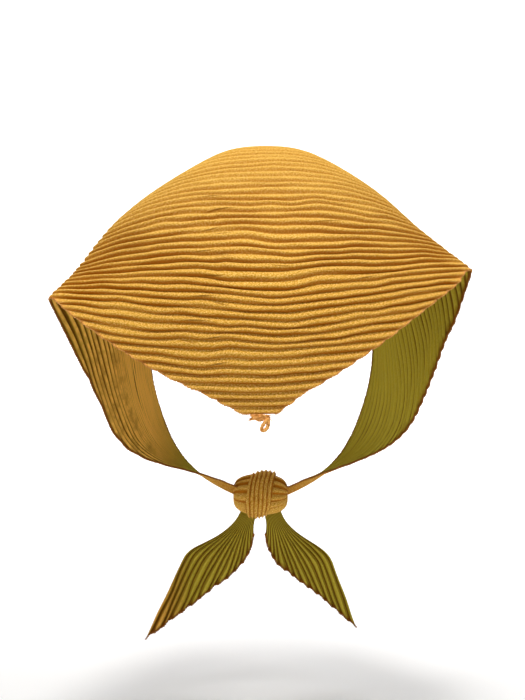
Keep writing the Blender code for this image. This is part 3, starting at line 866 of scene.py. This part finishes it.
def thread_material():
    """Pale orange edging thread, darker with painted shade where it runs along the flaps."""
    tree = Tree("edge_thread")
    place = tree.place()
    grain = tree.noise(place, 900.0, 3.0, 0.6)
    broad = tree.noise(place, 420.0, 2.0, 0.5)
    x, y = [tree.axis(place, name) for name in "XY"]
    flap = ((y + 0.040 - x * 0.12) * 200.0).clamp()
    colour = tree.mix((broad * 3.0 - 1.0).clamp(), "thread", "thread_pale")
    colour = tree.mix((grain - 0.4).clamp() * 0.8, colour, "thread_glint")
    # Painted shade on the thread where it runs along the flaps.
    colour = tree.mix(flap * 0.85, colour, "painted_thread_shade")
    tree.bump(grain, 0.5, 0.0002)
    return tree.set(**{"Base Color": colour, "Roughness": 0.75, "Specular IOR Level": 0.1})


def ring_faces(rings, sides, closed=False):
    """Faces over rings of points, which close into a ring themselves or have flat ends."""
    faces = []
    for k in range(rings if closed else rings - 1):
        here = k * sides
        ahead = (k + 1) % rings * sides
        for s in range(sides):
            t = (s + 1) % sides
            faces.append((here + s, here + t, ahead + t, ahead + s))
    if not closed:
        faces.append(tuple(range(sides))[::-1])
        faces.append(tuple((rings - 1) * sides + s for s in range(sides)))
    return faces


def tube(points, radius, sides, closed=False):
    """A round tube along points: (its points, its faces)."""
    points = np.asarray(points, float)
    n = len(points)
    radius = np.broadcast_to(np.asarray(radius, float), (n,))
    if closed:
        ahead = np.roll(points, -1, axis=0) - np.roll(points, 1, axis=0)
    else:
        ahead = np.gradient(points, axis=0)
    ahead = unit(ahead)
    first = np.array([0.0, 0.0, 1.0]) if abs(ahead[0][2]) < 0.9 else np.array([1.0, 0.0, 0.0])
    side = unit(np.cross(ahead[0], first))
    verts = []
    for k in range(n):
        side = unit(side - ahead[k] * np.dot(side, ahead[k]))
        up = np.cross(ahead[k], side)
        for s in range(sides):
            turn = 2 * math.pi * s / sides
            verts.append(points[k] + radius[k] * (side * math.cos(turn) + up * math.sin(turn)))
    return verts, ring_faces(n, sides, closed)


def joined(name, parts):
    """One mesh object from several (points, faces)."""
    points = []
    faces = []
    for part_points, part_faces in parts:
        start = len(points)
        points += [tuple(map(float, p)) for p in part_points]
        faces += [tuple(k + start for k in face) for face in part_faces]
    mesh = bpy.data.meshes.new(name)
    mesh.from_pydata(points, [], faces)
    made = bmesh.new()
    made.from_mesh(mesh)
    bmesh.ops.recalc_face_normals(made, faces=made.faces)
    made.to_mesh(mesh)
    made.free()
    mesh.shade_smooth()
    return new_object(name, mesh)


# The thread over the cut edges, in metres.
STITCH = {"Step": 0.00090, "Thread radius": 0.00026, "Half width": 0.00058}


def stitch_tree(material):
    """Thread turns laid side by side over an edge line."""
    tree = bpy.data.node_groups.new("overcast_edge", "GeometryNodeTree")
    tree.interface.new_socket("Geometry", in_out="INPUT", socket_type="NodeSocketGeometry")
    keys = {}
    for name, kind in [*((name, "Float") for name in STITCH), ("Seed", "Int")]:
        socket = tree.interface.new_socket(name, in_out="INPUT", socket_type="NodeSocket" + kind)
        keys[name] = socket.identifier
    tree.interface.new_socket("Geometry", in_out="OUTPUT", socket_type="NodeSocketGeometry")

    def node(kind, inputs=None, **settings):
        made = tree.nodes.new(kind)
        for key, value in settings.items():
            setattr(made, key, value)
        for key, value in (inputs or {}).items():
            if isinstance(value, bpy.types.NodeSocket):
                tree.links.new(value, made.inputs[key])
            else:
                made.inputs[key].default_value = value
        return made

    start = node("NodeGroupInput")
    curve = node("GeometryNodeMeshToCurve", {"Mesh": start.outputs["Geometry"]})
    even = node("GeometryNodeResampleCurve",
                {"Curve": curve.outputs[0], "Length": start.outputs["Step"]}, mode="LENGTH")
    ring = node("GeometryNodeCurvePrimitiveCircle",
                {"Resolution": 9, "Radius": start.outputs["Half width"]}, mode="RADIUS")
    thread = node("GeometryNodeCurvePrimitiveCircle",
                  {"Resolution": 5, "Radius": start.outputs["Thread radius"]}, mode="RADIUS")
    turn = node("GeometryNodeCurveToMesh", {"Curve": ring.outputs[0], "Profile Curve": thread.outputs[0]})
    tangent = node("GeometryNodeInputTangent")
    face = node("FunctionNodeAlignEulerToVector", {"Vector": tangent.outputs[0]}, axis="Z")
    lean = node("FunctionNodeRandomValue", {"Min": (0.35, -0.1, -3.0), "Max": (0.60, 0.1, 3.0),
                                            "Seed": start.outputs["Seed"]}, data_type="FLOAT_VECTOR")
    slanted = node("FunctionNodeRotateEuler", {"Rotation": face.outputs[0], "Rotate By": lean.outputs[0]},
                   space="LOCAL")
    size = node("FunctionNodeRandomValue", {"Min": (0.85, 0.85, 0.9), "Max": (1.12, 1.12, 1.1),
                                            "Seed": start.outputs["Seed"]}, data_type="FLOAT_VECTOR")
    placed = node("GeometryNodeInstanceOnPoints", {
        "Points": even.outputs[0], "Instance": turn.outputs[0], "Rotation": slanted.outputs[0],
        "Scale": size.outputs[0]})
    real = node("GeometryNodeRealizeInstances", {0: placed.outputs[0]})
    smooth = node("GeometryNodeSetShadeSmooth", {0: real.outputs[0]})
    done = node("GeometryNodeSetMaterial", {"Geometry": smooth.outputs[0]})
    done.inputs["Material"].default_value = material
    end = node("NodeGroupOutput")
    tree.links.new(done.outputs[0], end.inputs[0])
    return tree, keys


def stitched_edge(name, line, group, keys, material, seed):
    """The overcast thread along one edge of the cloth, as a plain mesh."""
    mesh = bpy.data.meshes.new(name + "_line")
    mesh.from_pydata([tuple(map(float, p)) for p in line], [(k, k + 1) for k in range(len(line) - 1)], [])
    made = new_object(name, mesh)
    modifier = made.modifiers.new("overcast", "NODES")
    modifier.node_group = group
    for key, value in {**STITCH, "Seed": seed}.items():
        modifier[keys[key]] = value
    bpy.context.view_layer.update()
    graph = bpy.context.evaluated_depsgraph_get()
    plain = bpy.data.meshes.new_from_object(made.evaluated_get(graph))
    made.modifiers.clear()
    made.data = plain
    if not plain.materials:
        plain.materials.append(material)
    return made


BUNDLE_RIBS = 13
BUNDLE_SIDES = 144
BUNDLE_RINGS = 49
BUNDLE_RISE = 0.0009
BUNDLE_SMALL = 0.84      # the bundle's radii, as a share of the knot's
BUNDLE_ENDS = 0.93       # how far the rings reach round the ends, as a share of half a turn
WRAP_PLEATS = 3.0        # on each side of the wrap's middle
WRAP_RINGS = 120
WRAP_SIDES = 72
WRAP_RISE = 0.0010
WRAP_THICK = 0.0016
WRAP_SMALL = 0.90
WRAP_LEAN = 0.0022
WRAP_PINCH = 0.22
WRAP_SLANT = 0.10


def knot_mesh(name, samples, faces, material):
    """One piece of the knot, from its (point, shade, pleat, place on the cloth map)."""
    points, shades, pleats, uv = zip(*samples)
    plain = np.zeros(len(points))
    made = mesh_of(name, points, faces, {"shade": shades, "pleat": pleats, "inner": plain, "rim": plain}, uv)
    made.data.materials.append(material)
    return made


def knot_bundle(material):
    """The knot's bundle of gathered pleats."""
    samples = []
    for i in range(BUNDLE_RINGS):
        angle = -math.pi / 2 * BUNDLE_ENDS + math.pi * BUNDLE_ENDS * i / (BUNDLE_RINGS - 1)
        u = math.sin(angle)
        radius = math.cos(angle) ** 0.55
        for k in range(BUNDLE_SIDES):
            turn = 2 * math.pi * k / BUNDLE_SIDES
            pleat = turn * BUNDLE_RIBS / (2 * math.pi)
            phase = (pleat + 0.35 * u * math.sin(2 * turn)) % 1.0
            rise = BUNDLE_RISE * float(pleat_shape(np.float64(phase))) * min(1.0, radius * 1.3)
            samples.append((
                KNOT_CENTRE + np.array([
                    u * KNOT_HALF,
                    (radius * KNOT_RADIUS_Y * BUNDLE_SMALL + rise) * math.cos(turn),
                    (radius * KNOT_RADIUS_Z * BUNDLE_SMALL + rise) * math.sin(turn)]),
                shaded_part(phase), pleat, (u * KNOT_HALF, turn * KNOT_RADIUS_Z)))
    return knot_mesh("knot_bundle", samples, ring_faces(BUNDLE_RINGS, BUNDLE_SIDES), material)


def knot_wrap(material):
    """The turn of pleated cloth over the bundle."""
    samples = []
    for k in range(WRAP_RINGS):
        turn = 2 * math.pi * k / WRAP_RINGS
        lean = WRAP_LEAN * math.sin(turn + 0.6)
        pinch = 1 - WRAP_PINCH * max(0.0, math.cos(turn + math.pi / 2)) ** 2
        for c in range(WRAP_SIDES):
            v = 2 * math.pi * c / WRAP_SIDES
            place = math.cos(v)
            upper = max(math.sin(v), 0.0)
            pleat = place * WRAP_PLEATS + WRAP_PLEATS
            phase = (pleat + 0.15 * math.sin(3 * turn)) % 1.0
            rise = WRAP_RISE * float(pleat_shape(np.float64(phase))) * min(1.0, upper * 2.5)
            lift = WRAP_THICK * math.sin(v) * (1.15 - 0.35 * place * place) + rise
            width = WRAP_HALF * place * pinch
            curve = WRAP_SMALL * (1 - 0.30 * (width / KNOT_HALF) ** 2)
            samples.append((
                KNOT_CENTRE + np.array([
                    width + lean,
                    (KNOT_RADIUS_Y * curve + lift) * math.cos(turn),
                    (KNOT_RADIUS_Z * curve + lift) * math.sin(turn) + WRAP_SLANT * width]),
                shaded_part(phase) if upper > 0.1 else 0.5, pleat, (turn * KNOT_RADIUS_Z, width)))
    return knot_mesh("knot_wrap", samples, ring_faces(WRAP_RINGS, WRAP_SIDES, closed=True), material)


TUFT_ENDS = 90
TUFT_CURLS = 12
THREAD_THICK = 0.00040   # radius of an end where it leaves the edge
THREAD_THIN = 0.00016    # and at its tip
CURL_RADIUS = 0.00038


def tuft_shape(corner, material):
    """Frayed ends of the edging thread, drawn together at the back corner."""
    rng = random.Random(5)

    def anywhere(*ranges):
        return np.array([rng.uniform(low, high) for low, high in ranges])

    parts = []
    middle = corner + np.array([0.0, -0.0012, -0.0012])
    for _ in range(TUFT_ENDS):
        start = middle + anywhere((-0.0046, 0.0046), (-0.0012, 0.0006), (-0.0018, 0.0014))
        away = rng.choice((-1, 1))
        out = rng.uniform(0.0018, 0.0042)
        end = start + np.array([away * out, *anywhere((-0.0012, 0.0006), (-0.0018, 0.0005))])
        bulge = np.array([0.0, *anywhere((-0.0014, 0.0002), (-0.0006, 0.0012))])
        line = bend(start, start + bulge, end + bulge * 0.5, end, 7)
        parts.append(tube(line, np.linspace(THREAD_THICK, THREAD_THIN, 7), 6))
    for k in range(TUFT_CURLS):
        turn = 2 * math.pi * k / TUFT_CURLS
        size = rng.uniform(0.6, 1.1)
        shift = anywhere((-0.0030, 0.0030), (-0.0014, -0.0002), (-0.0008, 0.0006))
        line = [middle + shift + np.array([
            size * 0.0020 * math.cos(a), 0.0006 * math.sin(a + turn), size * 0.0014 * math.sin(a)])
            for a in np.linspace(turn, turn + 5.6, 18)]
        parts.append(tube(line, CURL_RADIUS, 6))
    made = joined("corner_tuft_threads", parts)
    made.data.materials.append(material)
    return made


LOOP_STEPS = 72
LOOP_HALF_WIDTH = 0.00160
LOOP_HALF_LENGTH = 0.0034
LOOP_SLANT = 0.42
PLY_RADIUS = 0.00086
PLY_OFFSET = 0.00050
PLY_TURNS = 6


def loop_shape(corner, material):
    """The loop of thread, two plies twisted together."""
    parts = []
    middle = corner + np.array([0.0034, -0.0030, -0.0061])
    for ply in range(2):
        line = []
        for k in range(LOOP_STEPS):
            turn = 2 * math.pi * k / LOOP_STEPS
            narrow = 1 - 0.45 * math.cos(turn)
            across = LOOP_HALF_WIDTH * narrow * math.sin(turn)
            down = LOOP_HALF_LENGTH * math.cos(turn)
            base = middle + np.array([across + LOOP_SLANT * down, 0.0, down])
            twist = turn * PLY_TURNS + math.pi * ply
            line.append(base + PLY_OFFSET * np.array([
                math.cos(twist) * math.sin(turn), math.sin(twist), math.cos(twist) * math.cos(turn)]))
        parts.append(tube(line, PLY_RADIUS, 8, closed=True))
    made = joined("thread_loop_plies", parts)
    made.data.materials.append(material)
    return made


def build():
    """Makes all pieces and says what each one rides, replaces and is made of."""
    hoods = {side: Hood(side) for side in (-1, 1)}
    cloth = cloth_material()
    thread = thread_material()
    group, keys = stitch_tree(thread)
    rows = [hood_row(hoods, pleat) for pleat in phases(PLEATS)]
    hood, middle, left_ends, right_ends, hem = cloth_mesh("pleated_hood", rows)
    hood.data.materials.append(cloth)
    edges = []
    for name, ends, seed in (("edge_thread_left", left_ends, 3), ("edge_thread_right", right_ends, 4)):
        knot_side = np.linalg.norm(middle[ends] - KNOT_CENTRE, axis=1) < KNOT_HALF
        free = [k for k, hidden in zip(ends, knot_side) if not hidden]
        if ends is left_ends:
            free += range(left_ends[-1] + 1, right_ends[-1])
        edges.append(stitched_edge(name, middle[free], group, keys, thread, seed))
    edges.append(stitched_edge("edge_thread_front", middle[hem[4:-4]], group, keys, thread, 5))
    tails = []
    for tail in TAILS:
        own = Noise(tail["seed"], 1.0, 0.02)
        tail_rows = [tail_row(tail, pleat, own) for pleat in phases(TAIL_PLEATS)]
        made, line, _, last_ends, _ = cloth_mesh(tail["name"] + "_cloth", tail_rows)
        made.data.materials.append(cloth)
        tails.append(made)
        name = "edge_thread_" + tail["name"]
        edges.append(stitched_edge(name, line[last_ends], group, keys, thread, tail["seed"]))
    knot = knot_bundle(cloth)
    wrap = knot_wrap(cloth)
    corner = hoods[1].grid[-1, 0]
    tuft = tuft_shape(corner, thread)
    loop = loop_shape(corner, thread)

    for made in [hood, knot, wrap, tuft, loop, *tails, *edges]:
        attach(made, "root")
    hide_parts("pleated_cloth")
    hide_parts("chin_knot")
    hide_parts("tail_left")
    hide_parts("tail_right")
    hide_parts("corner_tuft")
    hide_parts("thread_loop")


# The studio: pale floor and backdrop in one sweep, soft lights, and the camera at the photo's angle.
# Lengths are in metres, lamps in watts.
FLOOR_Z = -0.43
CAMERA_AIM = (0.0015, -0.05, -0.1335)
CAMERA_ELEVATION = 8.0
CAMERA_DISTANCE = 0.86
CAMERA_LENS = 91.06
SWEEP_START = 2.4        # where the floor starts to curve up
SWEEP_RADIUS = 0.8
SWEEP_STEPS = 12
FLOOR_FRONT = -5.0
FLOOR_HALF_WIDTH = 5.0
BACKDROP_HEIGHT = 3.6


def backdrop():
    """The floor and the backdrop, as the stage."""
    profile = [(FLOOR_FRONT, 0.0), (SWEEP_START, 0.0)]
    for k in range(1, SWEEP_STEPS + 1):
        turn = math.pi / 2 * k / SWEEP_STEPS
        profile.append((SWEEP_START + SWEEP_RADIUS * math.sin(turn), SWEEP_RADIUS * (1 - math.cos(turn))))
    profile.append((SWEEP_START + SWEEP_RADIUS, BACKDROP_HEIGHT))
    points = [(x, y, FLOOR_Z + z) for x in (-FLOOR_HALF_WIDTH, FLOOR_HALF_WIDTH) for y, z in profile]
    n = len(profile)
    mesh = bpy.data.meshes.new("backdrop")
    mesh.from_pydata(points, [], [(k, k + n, k + 1 + n, k + 1) for k in range(n - 1)])
    mesh.shade_smooth()
    pale = bpy.data.materials.new("pale_paper")
    pale.use_nodes = True
    surface = pale.node_tree.nodes["Principled BSDF"]
    surface.inputs["Base Color"].default_value = (0.93, 0.93, 0.93, 1)
    surface.inputs["Roughness"].default_value = 0.9
    mesh.materials.append(pale)
    new_object("backdrop", mesh)


def lamp(name, place, aim, size, power, colour=(1, 1, 1)):
    """A round soft light."""
    data = bpy.data.lights.new(name, "AREA")
    data.shape = "DISK"
    data.size = size
    data.energy = power
    data.color = colour
    made = new_object(name, data)
    made.location = place
    made.rotation_euler = (Vector(aim) - Vector(place)).to_track_quat("-Z", "Y").to_euler()


def studio():
    backdrop()
    world = bpy.data.worlds.new("pale_studio")
    world.use_nodes = True
    world.node_tree.nodes["Background"].inputs["Color"].default_value = (1.0, 1.0, 1.0, 1)
    world.node_tree.nodes["Background"].inputs["Strength"].default_value = 0.25
    bpy.context.scene.world = world

    lamp("key", (-0.02, -0.55, 1.30), (0, -0.05, -0.1), size=0.32, power=14.4, colour=(1.0, 0.98, 0.95))
    lamp("right_shoulder", (0.75, -0.40, 0.90), (0.05, -0.03, -0.1), size=0.5, power=5.0)
    lamp("left_shoulder", (-0.75, -0.40, 0.90), (-0.05, -0.03, -0.1), size=0.5, power=3.1)
    lamp("fill", (-0.6, -1.7, 0.25), (0, 0, -0.15), size=1.0, power=3)
    lamp("floor_wash", (0.0, 0.7, 1.6), (0, 2.4, -0.2), size=1.2, power=12)
    lamp("back_wash", (0.0, 1.2, 1.3), (0, 3.0, 0.1), size=1.2, power=70)

    turn = math.radians(CAMERA_ELEVATION)
    look = Vector((0, math.cos(turn), -math.sin(turn)))
    camera = bpy.data.cameras.new("camera")
    camera.sensor_width = 36
    camera.sensor_fit = "HORIZONTAL"
    camera.lens = CAMERA_LENS
    camera.clip_start = 0.01
    made = new_object("camera", camera)
    made.location = Vector(CAMERA_AIM) - look * CAMERA_DISTANCE
    made.rotation_euler = look.to_track_quat("-Z", "Y").to_euler()
    bpy.context.scene.camera = made
    bpy.context.scene.view_settings.view_transform = "Standard"
    bpy.context.scene.view_settings.look = "None"


build()
studio()
